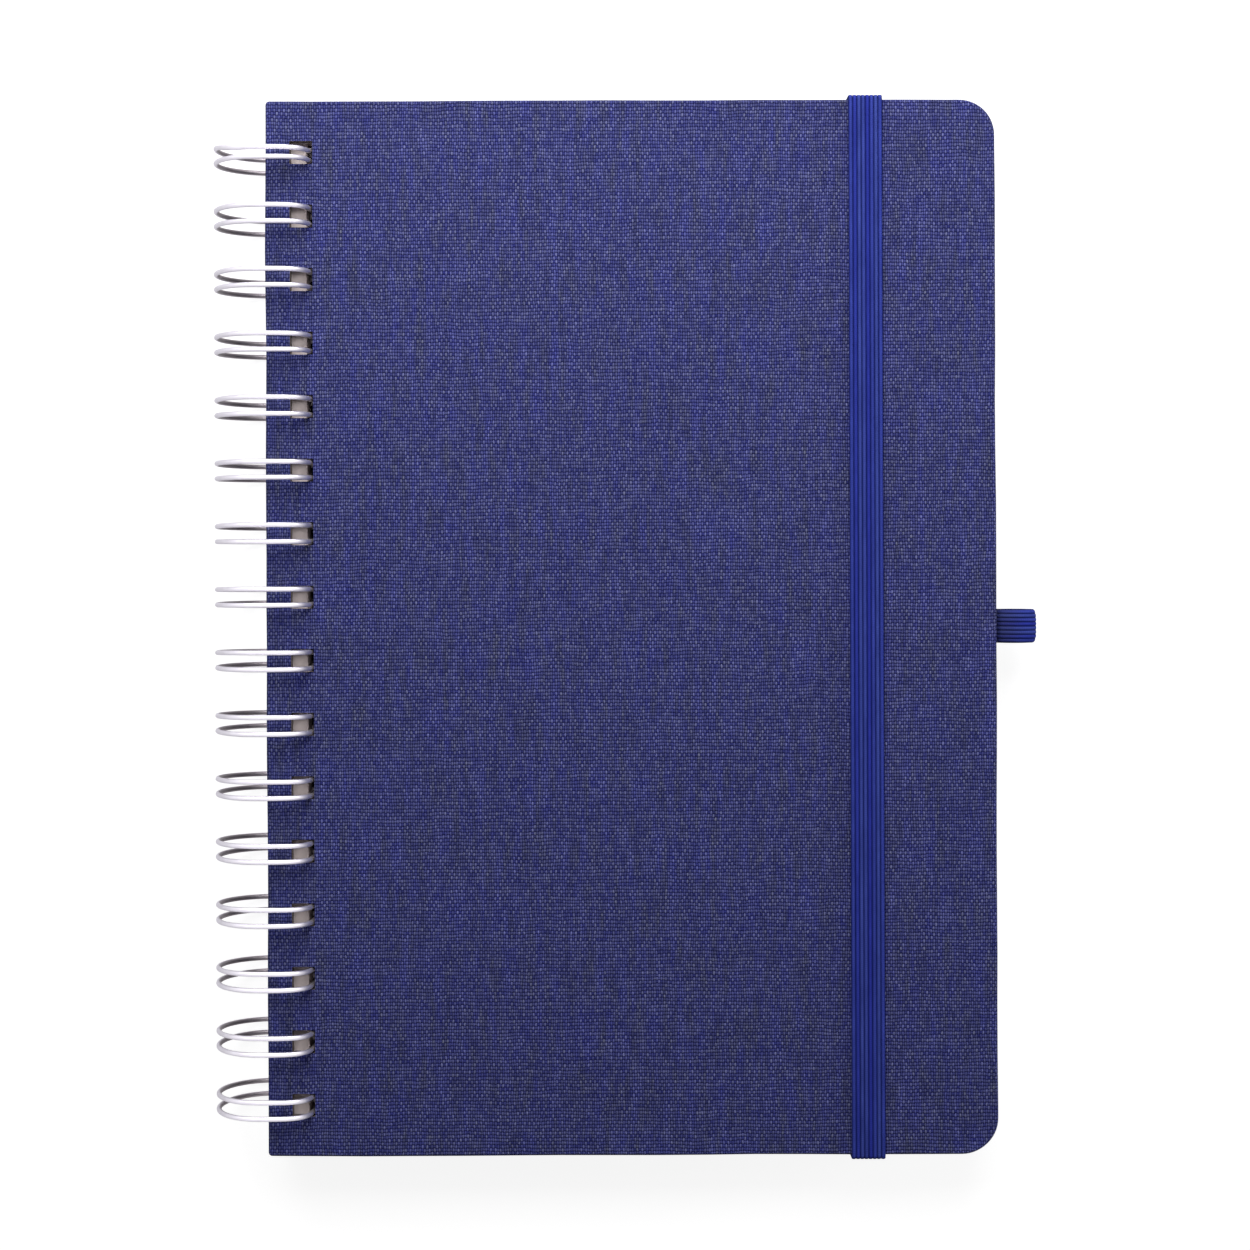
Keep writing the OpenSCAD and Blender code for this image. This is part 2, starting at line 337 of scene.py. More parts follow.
def build_weave():
    """Plain weave: in each cell of the thread grid either the warp or the weft lies on top.
    Each thread changes tone along its length, as mixed yarn does, and its colour runs from a painted
    highlight on its crown to painted shade in the gaps between threads."""
    group, given, result = group_with(
        "plain_weave",
        {"Place": "Vector", "Warp Pitch": "Float", "Weft Pitch": "Float", "Dark Yarn": "Color",
         "Light Yarn": "Color", "Pale Yarn": "Color", "Warp Lift": "Float", "Gap": "Color"},
        {"Color": "Color", "Height": "Float"})
    # The threads don't run quite straight
    sockets = {"Vector": given["Place"], "Scale": 0.13, "Detail": 5.0, "Roughness": 0.58}
    drift = put(group, "ShaderNodeTexNoise", sockets).outputs["Color"]
    drift = vector_calc(group, "SUBTRACT", drift, (0.5, 0.5, 0.5))
    drift = vector_calc(group, "MULTIPLY", drift, (1.1, 1.1, 1.1))
    place = vector_calc(group, "ADD", given["Place"], drift)
    split = put(group, "ShaderNodeSeparateXYZ", {0: place}).outputs
    across = calc(group, "DIVIDE", split[0], given["Warp Pitch"])
    along = calc(group, "DIVIDE", split[1], given["Weft Pitch"])
    warp, weft = calc(group, "FLOOR", across), calc(group, "FLOOR", along)
    parity = calc(group, "FLOORED_MODULO", calc(group, "ADD", warp, weft), 2)
    warp_up = calc(group, "GREATER_THAN", 0.5, parity)

    def squared_offset(place):
        """The square of how far a place is from the middle of its cell."""
        offset = calc(group, "SUBTRACT", calc(group, "FRACT", place), 0.5)
        return calc(group, "MULTIPLY", offset, offset)

    def thread_height(side, end):
        """A rounded thread, which falls off to its sides and more gently to where it dives under."""
        height = calc(group, "SUBTRACT", 1, calc(group, "MULTIPLY", side, 3.4))
        return calc(group, "SUBTRACT", height, calc(group, "MULTIPLY", end, 1.8))

    u2, v2 = squared_offset(across), squared_offset(along)
    height = blend_values(group, warp_up, thread_height(v2, u2), thread_height(u2, v2))
    height = calc(group, "MAXIMUM", height, 0)

    def yarn_tone(thread, run, offset):
        """A tone that differs from thread to thread and changes slowly along each one."""
        thread, run = calc(group, "MULTIPLY", thread, 0.83), calc(group, "MULTIPLY", run, 0.21)
        spot = put(group, "ShaderNodeCombineXYZ", {0: thread, 1: run, 2: offset}).outputs[0]
        slub = put(group, "ShaderNodeTexNoise",
                   {"Vector": spot, "Scale": 1.0, "Detail": 3.0, "Roughness": 0.6}).outputs["Fac"]
        return remap(group, slub, (0.3, 0.7), (0.18, 0.82))

    warp_lift = given["Warp Lift"]
    tone = blend_values(group, warp_up, yarn_tone(weft, split[0], 11.0), yarn_tone(warp, split[1], 3.0))
    tone = calc(group, "MULTIPLY", tone, calc(group, "SUBTRACT", 1, warp_lift))
    tone = calc(group, "ADD", tone, calc(group, "MULTIPLY", warp_up, warp_lift))
    crossing = put(group, "ShaderNodeCombineXYZ", {0: warp, 1: weft}).outputs[0]
    cell = put(group, "ShaderNodeTexWhiteNoise", {"Vector": crossing}, noise_dimensions="2D")
    cell = cell.outputs["Value"]
    tone = calc(group, "MULTIPLY", tone, remap(group, cell, new=(0.6, 1.4)))
    hue = blend_values(group, warp_up, yarn_tone(weft, split[0], 31.0), yarn_tone(warp, split[1], 23.0))
    hue = blend_values(group, 0.3, hue, cell)
    light = blend_colours(group, hue, given["Light Yarn"], given["Pale Yarn"])
    yarn = blend_colours(group, tone, given["Dark Yarn"], light)
    # Painted highlight and shade: the colour goes from the yarn's on each thread's crown to the Gap colour
    # between threads
    cloth = blend_colours(group, remap(group, height, (0.14, 0.95)), given["Gap"], yarn)
    # The dye took unevenly along the warp, which leaves long streaks of stronger and weaker blue
    streak = stretched_noise(group, given["Place"], (0.6, 0.08, 1.0), 3, 0.62)
    streak = remap(group, streak, (0.3, 0.7))
    dye = blend_colours(group, streak, (0.96, 0.95, 0.7, 1), (1.05, 1.06, 1.25, 1))
    group.links.new(blend_colours(group, 1.0, cloth, dye, "MULTIPLY"), result["Color"])
    group.links.new(height, result["Height"])
    return group


book_cloth, tree, shader = start_material(
    "book_cloth", 0.85, Specular_IOR_Level=0.15, Sheen_Weight=0.04, Sheen_Roughness=0.5)
place = put(tree, "ShaderNodeUVMap", uv_map="cloth").outputs["UV"]
woven = put(tree, "ShaderNodeGroup", {
    "Place": place, "Warp Pitch": 0.474, "Weft Pitch": 0.68, "Dark Yarn": (0.008, 0.011, 0.122, 1),
    "Light Yarn": (0.108, 0.12, 0.39, 1), "Pale Yarn": (0.194, 0.208, 0.385, 1), "Warp Lift": 0.34,
    "Gap": (0.002, 0.003, 0.058, 1)}, node_tree=build_weave()).outputs
tree.links.new(woven["Color"], shader.inputs["Base Color"])
raise_surface(tree, shader, woven["Height"], 0.00012)

front_cover, front_face = cloth_cover("front_cloth", 1)
back_cover, back_face = cloth_cover("back_cloth", -1)

# The back cover's own cuts: a slot near each end for the band, and a recess for the pen loop's tail
BAND_WIDTH = 6.7 * MM
BAND_THICKNESS = 0.8 * MM
BAND_FROM_FORE = 26 * MM
SLOT_FROM_EDGE = 18 * MM
SLOT_ROOM = 0.2 * MM
TAPE_WIDTH = 6.7 * MM
TAPE_THICKNESS = 0.9 * MM
TAPE_TAIL = 12 * MM
back_low, back_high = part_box("back_cloth")
front_low, front_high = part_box("front_cloth")
band_x = back_high.x - BAND_FROM_FORE
slot_y = back_high.y - SLOT_FROM_EDGE
for end in (1, -1):
    ys = sorted((end * (slot_y - BAND_THICKNESS - SLOT_ROOM), end * (slot_y + SLOT_ROOM)))
    cut_away(back_cover, box_between(
        "slot", (band_x - BAND_WIDTH / 2 - SLOT_ROOM, ys[0], back_low.z - PAST),
        (band_x + BAND_WIDTH / 2 + SLOT_ROOM, ys[1], back_low.z + CLOTH + PAST)))
recess_x = back_high.x - TAPE_TAIL - SLOT_ROOM
recess_y = TAPE_WIDTH / 2 + SLOT_ROOM
cut_away(back_cover, box_between(
    "tail_recess", (recess_x, -recess_y, back_high.z - TAPE_THICKNESS),
    (back_high.x + PAST, recess_y, back_high.z + PAST)))


def smooth(piece, degrees):
    """Shades a piece smooth except over edges sharper than an angle."""
    select_only(piece)
    bpy.ops.object.shade_smooth_by_angle(angle=math.radians(degrees))


for cover, face, node_name, body in ((front_cover, front_face, "front_cloth", "front_cover"),
                                     (back_cover, back_face, "back_cloth", "back_cover")):
    lay_weave(cover, face)
    smooth(cover, 35)
    use_modifier(cover, "WEIGHTED_NORMAL", keep_sharp=True)
    cover.data.materials.append(book_cloth)
    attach(cover, body)
    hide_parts(node_name)


# Lining papers
# One sheet of plain paper glued over the inside of each cover, up onto the turned-in cloth.

def paper(name, colour, grain_height):
    """Uncoated paper: faint cloudy tone and a fine felt of fibres."""
    material, tree, shader = start_material(name, 0.9, Specular_IOR_Level=0.25)
    place = put(tree, "ShaderNodeTexCoord").outputs["Object"]
    cloud = stretched_noise(tree, place, (60, 60, 60), 3)
    felt = stretched_noise(tree, place, (2600, 1500, 2600), 3)
    warm = tuple(c * k for c, k in zip(colour, (0.93, 0.925, 0.9))) + (1,)
    tone = blend_colours(tree, cloud, warm, colour + (1,))
    grain = remap(tree, felt, (0.3, 0.7), (0.94, 1))
    tone = blend_colours(tree, 1.0, tone, grain, "MULTIPLY")
    tree.links.new(tone, shader.inputs["Base Color"])
    raise_surface(tree, shader, felt, grain_height)
    return material


lining_paper = paper("lining_paper", (0.8, 0.785, 0.75), 0.00003)
for name in ("back_lining", "front_lining"):
    dress(name, lining_paper)


# Sheets
# The stack of blank writing sheets, cut round at the fore edge and punched for the loops. They lie loose
# on one another, each a hair out of line.

SHEETS = 57
PAGE_HOLE_MARGIN = 4.85 * MM
PAGE_FORE_CORNER = 6 * MM
PAGE_SPINE_CORNER = 0.5 * MM
SHEET_SHARE = 0.92
STRAY = 0.09 * MM

page_low, page_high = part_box("page_block")
sheet_room = (page_high.z - page_low.z) / SHEETS
sheet_top = page_low.z + sheet_room * SHEET_SHARE
sheet = slab("page_stack", page_low, Vector((page_high.x, page_high.y, sheet_top)),
             PAGE_FORE_CORNER, PAGE_SPINE_CORNER)
cut_away(sheet, punch_row(page_low.x + PAGE_HOLE_MARGIN, page_low.z - PAST, page_low.z + PAST))
use_modifier(sheet, "ARRAY", count=SHEETS, use_relative_offset=False, use_constant_offset=True,
             constant_offset_displace=(0, 0, sheet_room))
stray = random.Random(7)
strays = [(stray.uniform(-STRAY, STRAY), stray.uniform(-STRAY, STRAY)) for _ in range(SHEETS)]
for vertex in sheet.data.vertices:
    layer = min(int((vertex.co.z - page_low.z) / sheet_room + 0.02), SHEETS - 1)
    vertex.co.x += strays[layer][0]
    vertex.co.y += strays[layer][1]
page_paper = paper("page_paper", (0.7, 0.615, 0.61), 0.00002)
sheet.data.materials.append(page_paper)
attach(sheet, "pages")
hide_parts("page_block")


# Wire binding
# One continuous plated steel wire, combed into twin loops, threaded through the holes and pressed round
# until each loop's tip meets its seam at the back.

WIRE_RADIUS = 0.5 * MM
WIRE_SIDES = 16
LOOP_STEPS = 72
LOOP_RADIUS = 9.8 * MM
TWIN_FRONT = 3.3 * MM
TWIN_BACK = 2.7 * MM
BRIDGE_BEND = 1.3 * MM
SEAM = math.radians(290)
SEAM_GAP = 0.4 * MM
PINCHED_LOOP = LOOPS - 1
PINCH = 1.4 * MM
CROWN = 4
SPREAD = (-0.07 * MM, 0.06 * MM)
DRIFT = 0.08 * MM
# Angles round the loop, in radians: where it starts, and how the shift of its wires grows, fades and ends
LOOP_START = -1.3
SHIFT_GROWS = 0.6
SHIFT_FADES = 1.2
SHIFT_END = 3.1

wire_low, wire_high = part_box("twin_loop_wire")
axis = Vector((wire_low.x + LOOP_RADIUS + WIRE_RADIUS, 0, wire_low.z + LOOP_RADIUS + WIRE_RADIUS))
half_mid = (TWIN_FRONT + TWIN_BACK) / 4
lean = math.atan((TWIN_FRONT - TWIN_BACK) / 4 / LOOP_RADIUS)
tip_angle = SEAM - (SEAM_GAP / 2 + WIRE_RADIUS + TWIN_BACK / 2) / LOOP_RADIUS
base_angle = SEAM - math.tau + (SEAM_GAP / 2 + WIRE_RADIUS + BRIDGE_BEND) / LOOP_RADIUS


def on_loop(angle, way):
    """A place on a loop's middle line, the direction along it and the direction in towards the axis."""
    at = axis + Vector((math.cos(angle), 0, math.sin(angle) * math.cos(lean))) * LOOP_RADIUS
    along = Vector((-math.sin(angle), 0, math.cos(angle) * math.cos(lean))).normalized() * way
    return at, along, Vector((-along.z, 0, along.x))


def flare(angle):
    """How far the wire's direction turns away from the other wire of its loop."""
    return math.asin(math.cos(angle) * math.sin(lean))


def half_gap(angle):
    """Half the distance between the two wires of a loop."""
    return half_mid + LOOP_RADIUS * math.sin(angle) * math.sin(lean)


def sweep(centre, about, angle, steps):
    """Spins the selected end round a line by a right-handed angle. The operator turns the other way."""
    bpy.ops.mesh.spin(steps=steps, angle=-angle, center=centre, axis=about)


tip, tip_along, tip_in = on_loop(tip_angle, 1)
tip_radius = half_gap(tip_angle) / math.cos(flare(tip_angle))
tip_centre = tip + tip_along * tip_radius * math.sin(flare(tip_angle))
bpy.ops.object.select_all(action="DESELECT")
bpy.ops.mesh.primitive_circle_add(vertices=WIRE_SIDES, radius=WIRE_RADIUS,
                                  location=tip_centre + tip_along * tip_radius,
                                  rotation=(math.pi / 2, 0, 0))
twin_loop = bpy.context.object
bpy.ops.object.transform_apply(location=True, rotation=True, scale=True)
open_edit(twin_loop)
bpy.ops.mesh.select_all(action="SELECT")
sweep(tip_centre, tip_in, math.pi / 2 + flare(tip_angle), 7)
loop_line = (0, -math.cos(lean), math.sin(lean))
sweep(axis + Vector((0, half_mid, 0)), loop_line, base_angle - tip_angle, LOOP_STEPS)
base, base_along, base_in = on_loop(base_angle, -1)
bend_centre = base + base_along * BRIDGE_BEND * math.sin(flare(base_angle))
bend_centre.y = half_gap(base_angle) + BRIDGE_BEND * math.cos(flare(base_angle))
sweep(bend_centre, base_in, math.pi / 2 + flare(base_angle), 6)
close_edit()
use_modifier(twin_loop, "MIRROR", use_axis=(False, True, False), merge_threshold=SAME)

# Each loop's wires stand a hair wider or closer than the next one's, in its upper half. The quarter over
# the front cover is pressed squarer than a circle, with CROWN as its power in place of a circle's 2. On
# the loop at the head, the wire nearer the head is bent in.
bend_hand = random.Random(16)
loops = []
for number in range(LOOPS):
    copy = twin_loop.copy()
    copy.data = twin_loop.data.copy()
    bpy.context.collection.objects.link(copy)
    spread = bend_hand.uniform(*SPREAD)
    drift = bend_hand.uniform(-DRIFT, DRIFT)
    pinch = PINCH if number == PINCHED_LOOP else 0
    for vertex in copy.data.vertices:
        angle = math.atan2(vertex.co.z - axis.z, vertex.co.x - axis.x)
        angle += math.tau if angle < LOOP_START else 0
        share = min(max(angle / SHIFT_GROWS, 0), 1) * min(max((SHIFT_END - angle) / SHIFT_FADES, 0), 1)
        share = share * share * (3 - 2 * share)
        vertex.co.y += share * (spread - pinch if vertex.co.y > 0 else -spread) + share * drift
        vertex.co.y += (number - (LOOPS - 1) / 2) * PITCH
        if 0 < angle < math.pi / 2:
            out = (math.cos(angle) ** CROWN + math.sin(angle) ** CROWN) ** (-1 / CROWN) - 1
            vertex.co += Vector((math.cos(angle), 0, math.sin(angle))) * out * LOOP_RADIUS
    loops.append(copy)
bpy.data.objects.remove(twin_loop)
bpy.ops.object.select_all(action="DESELECT")
for piece in loops:
    piece.select_set(True)
wire = loops[0]
bpy.context.view_layer.objects.active = wire
bpy.ops.object.join()
wire.name = wire.data.name = "twin_wire"
# One bridge between each loop and the next, at the seam
first_y = -(LOOPS - 1) / 2 * PITCH
for number in range(LOOPS - 1):
    open_edit(wire)
    low_y = first_y + number * PITCH
    pick(wire, "edges", lambda e: e.is_boundary and low_y < e.verts[0].co.y < low_y + PITCH)
    bpy.ops.mesh.bridge_edge_loops()
    close_edit()
open_edit(wire)
pick(wire, "edges", lambda e: e.is_boundary)
bpy.ops.mesh.edge_face_add()
bpy.ops.mesh.select_all(action="SELECT")
bpy.ops.mesh.normals_make_consistent(inside=False)
close_edit()

plated_wire, tree, shader = start_material("plated_wire", 0.46, Metallic=1.0)
place = put(tree, "ShaderNodeTexCoord").outputs["Object"]
drawn = stretched_noise(tree, place, (700, 700, 700), 3)
tone = blend_colours(tree, drawn, (0.8, 0.765, 0.84, 1), (0.9, 0.87, 0.95, 1))
# Painted shade: the side that faces into the loops is painted darker, as the shade inside the loops
away = vector_calc(tree, "MULTIPLY", vector_calc(tree, "SUBTRACT", place, axis), (1, 0, 1))
away = vector_calc(tree, "NORMALIZE", away)
normal = put(tree, "ShaderNodeNewGeometry").outputs["Normal"]
facing = put(tree, "ShaderNodeVectorMath", {0: away, 1: normal}, operation="DOT_PRODUCT").outputs["Value"]
outer = remap(tree, facing, (-0.7, 0.1), curve="SMOOTHSTEP")
tone = blend_colours(tree, outer, (0.4, 0.36, 0.39, 1), tone)
tree.links.new(tone, shader.inputs["Base Color"])
tree.links.new(remap(tree, drawn, new=(0.42, 0.52)), shader.inputs["Roughness"])
wire.data.materials.append(plated_wire)
smooth(wire, 50)
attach(wire, "back_cover")
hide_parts("twin_loop_wire")


# Elastic band
# Ribbed woven elastic, a rubber cord in each of its eight ribs. It runs over the front cover and round
# its head and tail edges, and each end is pushed through a slot in the back cover and glued in.

RIBS = 8
RIB_STEPS = 6
RIB_GROOVE = 0.16 * MM
BAND_GAP = 0.05 * MM
BAND_BEND = 0.1 * MM
BAND_END = 0.4 * MM


def ribbed_outline(width, thickness, groove):
    """Points across a ribbed tape, from one side to the other: place across and half thickness."""
    pitch = width / RIBS
    points = []
    for step in range(RIBS * RIB_STEPS + 1):
        u = (step / RIB_STEPS) % 1 - 0.5 if step % RIB_STEPS else 0.5
        bulge = math.sqrt(max(1 - (2 * u) ** 2 * 0.96, 0))
        points.append((-width / 2 + step * pitch / RIB_STEPS, thickness / 2 - groove * (1 - bulge)))
    return points


def ribbed_section(name, centre, width, thickness, groove):
    """The flat end of a ribbed tape, facing along Y, as the start of its extrusion."""
    outline = ribbed_outline(width, thickness, groove)
    bpy.ops.object.select_all(action="DESELECT")
    bpy.ops.mesh.primitive_grid_add(x_subdivisions=len(outline) - 1, y_subdivisions=1, size=1,
                                    location=(0, 0, 0), rotation=(math.pi / 2, 0, 0))
    piece = bpy.context.object
    piece.name = piece.data.name = name
    bpy.ops.object.transform_apply(location=True, rotation=True, scale=True)
    for vertex in piece.data.vertices:
        column = round((vertex.co.x + 0.5) * (len(outline) - 1))
        x, half = outline[column]
        vertex.co = Vector(centre) + Vector((x, 0, math.copysign(half, vertex.co.z)))
    return piece


def pull(y=0.0, z=0.0, steps=1):
    """Extrudes the selected end by a distance, in equal steps."""
    for _ in range(steps):
        bpy.ops.mesh.extrude_region_move(TRANSFORM_OT_translate={"value": (0, y / steps, z / steps)})


def turn(centre_y, centre_z, angle, steps):
    """Bends the selected end round a line along X."""
    sweep((0, centre_y, centre_z), (1, 0, 0), math.radians(angle), steps)


face_z = front_high.z
under_z = back_low.z
edge_y = front_high.y + BAND_GAP - BAND_BEND
band = ribbed_section("band", (band_x, 0, face_z + BAND_GAP + BAND_THICKNESS / 2), BAND_WIDTH,
                      BAND_THICKNESS, RIB_GROOVE)
open_edit(band, "FACE")
bpy.ops.mesh.select_all(action="SELECT")
pull(y=edge_y, steps=24)
turn(edge_y, face_z + BAND_GAP - BAND_BEND, -90, 6)
pull(z=-(face_z - under_z + 2 * (BAND_GAP - BAND_BEND)), steps=4)
turn(edge_y, under_z - BAND_GAP + BAND_BEND, -90, 6)
pull(y=-(edge_y - slot_y - BAND_BEND), steps=4)
turn(slot_y + BAND_BEND, under_z - BAND_GAP + BAND_BEND, -90, 5)
pull(z=under_z + CLOTH + BAND_END - (under_z - BAND_GAP), steps=3)
close_edit()
use_modifier(band, "MIRROR", use_axis=(False, True, False), merge_threshold=2 * SAME)


def lay_tape(piece, width, across, along):
    """A UV map that counts the ribs across a tape and the millimetres along it."""
    mesh = piece.data
    tape = mesh.uv_layers.new(name="tape")
    for corner in mesh.loops:
        place = mesh.vertices[corner.vertex_index].co
        tape.data[corner.index].uv = ((across(place) / width + 0.5) * RIBS, along(place) / MM)


def close_and_smooth(piece):
    """Merges doubles, closes open ends, turns the faces outwards and shades the piece smooth."""
    open_edit(piece)
    bpy.ops.mesh.select_all(action="SELECT")
    bpy.ops.mesh.remove_doubles(threshold=SAME)
    bpy.ops.mesh.select_all(action="DESELECT")
    pick(piece, "edges", lambda e: e.is_boundary)
    bpy.ops.mesh.edge_face_add()
    bpy.ops.mesh.select_all(action="SELECT")
    bpy.ops.mesh.normals_make_consistent(inside=False)
    close_edit()
    smooth(piece, 40)


def build_ribs():
    """Ribbed elastic: a raised rib over each rubber cord, painted shade darkening into the grooves between
    ribs, and yarns that cross finely.
    """
    group, given, result = group_with(
        "ribbed_elastic", {"Place": "Vector", "Rib": "Color", "Faded Rib": "Color", "Groove": "Color"},
        {"Color": "Color", "Height": "Float"})
    split = put(group, "ShaderNodeSeparateXYZ", {0: given["Place"]}).outputs
    rib = calc(group, "FLOOR", split[0])
    u = calc(group, "SUBTRACT", calc(group, "FRACT", split[0]), 0.5)
    crown = calc(group, "SUBTRACT", 1, calc(group, "MULTIPLY", calc(group, "MULTIPLY", u, u), 4))
    run = calc(group, "MULTIPLY", split[1], 0.12)
    spot = put(group, "ShaderNodeCombineXYZ", {0: calc(group, "MULTIPLY", rib, 3.7), 1: run}).outputs[0]
    streak = put(group, "ShaderNodeTexNoise", {"Vector": spot, "Scale": 1.0, "Detail": 4.0}).outputs["Fac"]
    streak = remap(group, streak, (0.3, 0.7), (0.62, 1))
    stitch = calc(group, "ADD", calc(group, "MULTIPLY", split[1], 15), calc(group, "MULTIPLY", rib, 2.1))
    cross = remap(group, calc(group, "SINE", stitch), (-1, 1), (0.8, 1))
    own = put(group, "ShaderNodeTexWhiteNoise", {"W": rib}, noise_dimensions="1D").outputs["Value"]
    # Painted shade: the colour darkens from each rib's crown towards the Groove colour between ribs
    tone = calc(group, "MULTIPLY", calc(group, "MULTIPLY", crown, streak), cross)
    tone = calc(group, "MULTIPLY", tone, remap(group, own, new=(0.72, 1)))
    light = blend_colours(group, own, given["Rib"], given["Faded Rib"])
    group.links.new(blend_colours(group, tone, given["Groove"], light), result["Color"])
    group.links.new(calc(group, "ADD", crown, calc(group, "MULTIPLY", cross, 0.5)), result["Height"])
    return group


blue_elastic, tree, shader = start_material("blue_elastic", 0.8, Specular_IOR_Level=0.12)
place = put(tree, "ShaderNodeUVMap", uv_map="tape").outputs["UV"]
knit = put(tree, "ShaderNodeGroup", {
    "Place": place, "Rib": (0.037, 0.0535, 0.465, 1), "Faded Rib": (0.056, 0.083, 0.365, 1),
    "Groove": (0.002, 0.006, 0.09, 1)}, node_tree=build_ribs()).outputs
tree.links.new(knit["Color"], shader.inputs["Base Color"])
raise_surface(tree, shader, knit["Height"], 0.0001)

close_and_smooth(band)
lay_tape(band, BAND_WIDTH, lambda at: at.x - band_x, lambda at: abs(at.y) + face_z - at.z)
band.data.materials.append(blue_elastic)
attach(band, "back_cover")
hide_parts("elastic_band")
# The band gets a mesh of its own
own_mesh(band)


# Pen loop
# A short length of the same ribbed elastic, bent round into a ring. Its two ends are pressed together
# and glued in between the back cover's cloth and its lining.

PEN_RADIUS = 3.9 * MM
RING_STEPS = 48
CURL = 0.5 * MM
TAIL_THICKNESS = TAPE_THICKNESS * 0.9
TAIL_GROOVE = 0.1 * MM

ring_low, ring_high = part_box("pen_loop")
outer_radius = PEN_RADIUS + TAPE_THICKNESS
mid_radius = PEN_RADIUS + TAPE_THICKNESS / 2
ring_x = ring_high.x - outer_radius
ring_z = ring_high.z - outer_radius
tail_z = back_high.z - TAPE_THICKNESS / 2

bpy.ops.object.select_all(action="DESELECT")
outline = ribbed_outline(TAPE_WIDTH, TAPE_THICKNESS, RIB_GROOVE)
bpy.ops.mesh.primitive_grid_add(x_subdivisions=1, y_subdivisions=len(outline) - 1, size=1,
                                location=(0, 0, 0), rotation=(0, 0, 0))
pen_loop = bpy.context.object
pen_loop.name = pen_loop.data.name = "pen_ring"
for vertex in pen_loop.data.vertices:
    row = round((vertex.co.y + 0.5) * (len(outline) - 1))
    y, half = outline[row]
    edge = abs(y) / (TAPE_WIDTH / 2)
    out = half if vertex.co.x > 0 else -TAPE_THICKNESS / 2
    vertex.co = Vector((ring_x + mid_radius + out - CURL * edge ** 5, y, ring_z))
open_edit(pen_loop, "FACE")
bpy.ops.mesh.select_all(action="SELECT")
sweep((ring_x, 0, ring_z), (0, 1, 0), math.tau, RING_STEPS)
bpy.ops.mesh.select_all(action="SELECT")
bpy.ops.mesh.remove_doubles(threshold=SAME)
bpy.ops.mesh.select_all(action="DESELECT")
pick(pen_loop, "faces", lambda f: abs(f.calc_center_median().z - ring_z) < SAME
     and abs(f.normal.z) > 0.99 and f.calc_center_median().x > ring_x)
bpy.ops.mesh.delete(type="ONLY_FACE")
bpy.ops.mesh.select_all(action="SELECT")
bpy.ops.mesh.normals_make_consistent(inside=False)
close_edit()
smooth(pen_loop, 40)
lay_tape(pen_loop, TAPE_WIDTH, lambda at: at.y,
         lambda at: mid_radius * math.atan2(at.z - ring_z, at.x - ring_x))

# Painted shade: the tape's colour is darkened towards its root by the cover, where the front cover shades
# it, and left as it is round its outer bend
shaded_elastic = blue_elastic.copy()
shaded_elastic.name = "blue_elastic_painted_shade"
tree = shaded_elastic.node_tree
shader = tree.nodes["Principled BSDF"]
knit_colour = shader.inputs["Base Color"].links[0].from_socket
place = put(tree, "ShaderNodeUVMap", uv_map="tape").outputs["UV"]
along = put(tree, "ShaderNodeSeparateXYZ", {0: place}).outputs[1]
# The share of painted shade, which grows from the outer bend towards the root
painted_shade_share = remap(tree, calc(tree, "ABSOLUTE", along), (3.5, 11), (0, 0.62), curve="SMOOTHSTEP")
shaded_colour = blend_colours(tree, painted_shade_share, knit_colour, (0.026, 0.028, 0.06, 1))
tree.links.new(shaded_colour, shader.inputs["Base Color"])
pen_loop.data.materials.append(shaded_elastic)

# The tail runs out from the board's recess to the ring
tail_end = ring_x - mid_radius * 0.5
tail = ribbed_section("pen_tail", (0, 0, 0), TAPE_WIDTH, TAIL_THICKNESS, TAIL_GROOVE)
for vertex in tail.data.vertices:
    x, y, z = vertex.co
    vertex.co = Vector((back_high.x - TAPE_TAIL, x, tail_z + z))
open_edit(tail, "FACE")
bpy.ops.mesh.select_all(action="SELECT")
tail_run = tail_end - back_high.x + TAPE_TAIL
bpy.ops.mesh.extrude_region_move(TRANSFORM_OT_translate={"value": (tail_run, 0, 0)})
close_edit()
close_and_smooth(tail)
lay_tape(tail, TAPE_WIDTH, lambda at: at.y, lambda at: at.x)
tail.data.materials.append(blue_elastic)
for piece in (pen_loop, tail):
    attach(piece, "back_cover")
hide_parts("pen_loop")


# Floor, light and camera
# A plain pale floor under soft light that falls off towards the tail, seen from straight above.

FLOOR_IN_GLOSS = 0.55
SHADE_EDGE = (-4 * MM, -0.5 * MM)


def straight_rays(tree):
    """Two shares: 1 for glossy rays, and 1 for all rays that show a thing itself and don't light others."""
    seen = put(tree, "ShaderNodeLightPath").outputs
    shown = calc(tree, "MAXIMUM", seen["Is Camera Ray"], seen["Is Glossy Ray"])
    return seen["Is Glossy Ray"], calc(tree, "MAXIMUM", shown, seen["Is Transmission Ray"])


bpy.ops.object.select_all(action="DESELECT")
bpy.ops.mesh.primitive_plane_add(size=6, location=(0, 0, 0))
floor = bpy.context.object
floor.name = "floor"
# The floor glows evenly white to the camera and dimmer in reflections; under the notebook it is painted
# dark as the notebook's shade, and its glow fades out there
floor_paint, tree, shader = start_material("floor_paint", 0.8, Specular_IOR_Level=0.1)
shade_x = (back_low.x + back_high.x) / 2
shade_half = (back_high - back_low) / 2
glossy, shown = straight_rays(tree)
shown = calc(tree, "SUBTRACT", shown, calc(tree, "MULTIPLY", glossy, FLOOR_IN_GLOSS))
spot = put(tree, "ShaderNodeTexCoord").outputs["Object"]
spot = put(tree, "ShaderNodeSeparateXYZ", {0: spot}).outputs
off_x = calc(tree, "ABSOLUTE", calc(tree, "SUBTRACT", spot[0], shade_x))
beside = calc(tree, "SUBTRACT", off_x, shade_half.x)
beyond = calc(tree, "SUBTRACT", calc(tree, "ABSOLUTE", spot[1]), shade_half.y)
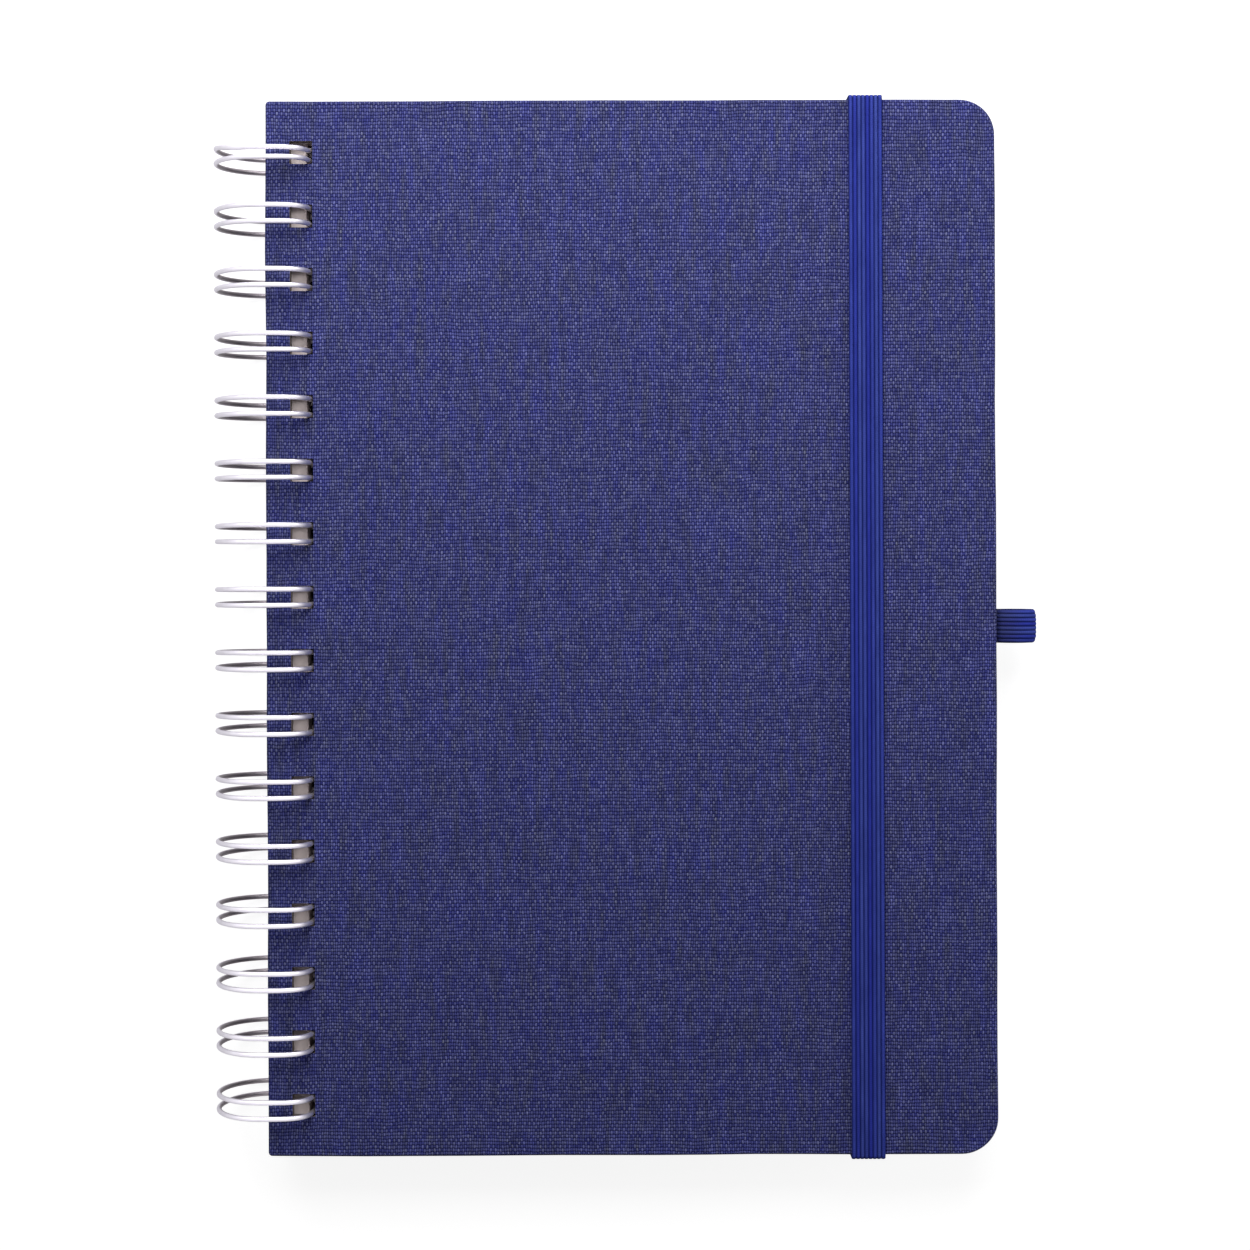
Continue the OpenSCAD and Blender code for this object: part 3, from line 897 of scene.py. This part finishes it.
# Painted shade: 0 under the notebook, where the floor's colour is painted dark and its glow taken away, and
# 1 beside it
clear = remap(tree, calc(tree, "MAXIMUM", beside, beyond), SHADE_EDGE, curve="SMOOTHSTEP")
paint = blend_colours(tree, clear, (0.03, 0.03, 0.03, 1), (0.32, 0.32, 0.32, 1))
tree.links.new(paint, shader.inputs["Base Color"])
white = calc(tree, "MULTIPLY", shown, clear)
glow = put(tree, "ShaderNodeCombineColor", {0: white, 1: white, 2: white}).outputs[0]
tree.links.new(glow, shader.inputs["Emission Color"])
shader.inputs["Emission Strength"].default_value = 0.88
floor.data.materials.append(floor_paint)

# The sky is white where it is seen and faint as a light, and darker to the fore edge in reflections
world = bpy.data.worlds.new("studio")
bpy.context.scene.world = world
world.use_nodes = True
tree = world.node_tree
background = tree.nodes["Background"]
glossy, shown = straight_rays(tree)
toward = put(tree, "ShaderNodeTexCoord").outputs["Generated"]
toward = put(tree, "ShaderNodeSeparateXYZ", {0: toward}).outputs
height = calc(tree, "SUBTRACT", toward[2], calc(tree, "MULTIPLY", toward[0], 0.35))
sky = blend_values(tree, glossy, 1, remap(tree, height, (-0.3, 0.45), (0.45, 1)))
strength = calc(tree, "MULTIPLY", remap(tree, shown, new=(0.075, 1)), sky)
tree.links.new(strength, background.inputs["Strength"])
background.inputs["Color"].default_value = (1, 1, 1, 1)


def softbox(name, place, aim, size, watts):
    """A square lamp turned to an aim."""
    lamp = bpy.data.lights.new(name, "AREA")
    lamp.size = size
    lamp.energy = watts
    holder = bpy.data.objects.new(name, lamp)
    bpy.context.collection.objects.link(holder)
    holder.location = place
    holder.rotation_euler = (Vector(aim) - Vector(place)).to_track_quat("-Z", "Y").to_euler()
    holder.visible_camera = False
    return holder


softbox("key", (-0.03, 0.34, 0.3), (0, 0.02, 0), 0.42, 3.06)
side_lamp = softbox("side", (0.55, 0.02, 0.12), (0.05, 0, 0.01), 0.2, 1.2)
side_lamp.visible_glossy = False

camera_data = bpy.data.cameras.new("camera")
camera_data.lens = 60.4
camera_data.sensor_width = 36
camera_data.shift_y = -0.047
camera = bpy.data.objects.new("camera", camera_data)
bpy.context.collection.objects.link(camera)
camera.location = (-0.00012, 0.0123, 0.435)
camera.rotation_euler = (0, 0, math.radians(-0.2))
bpy.context.scene.camera = camera
bpy.context.scene.view_settings.view_transform = "Standard"
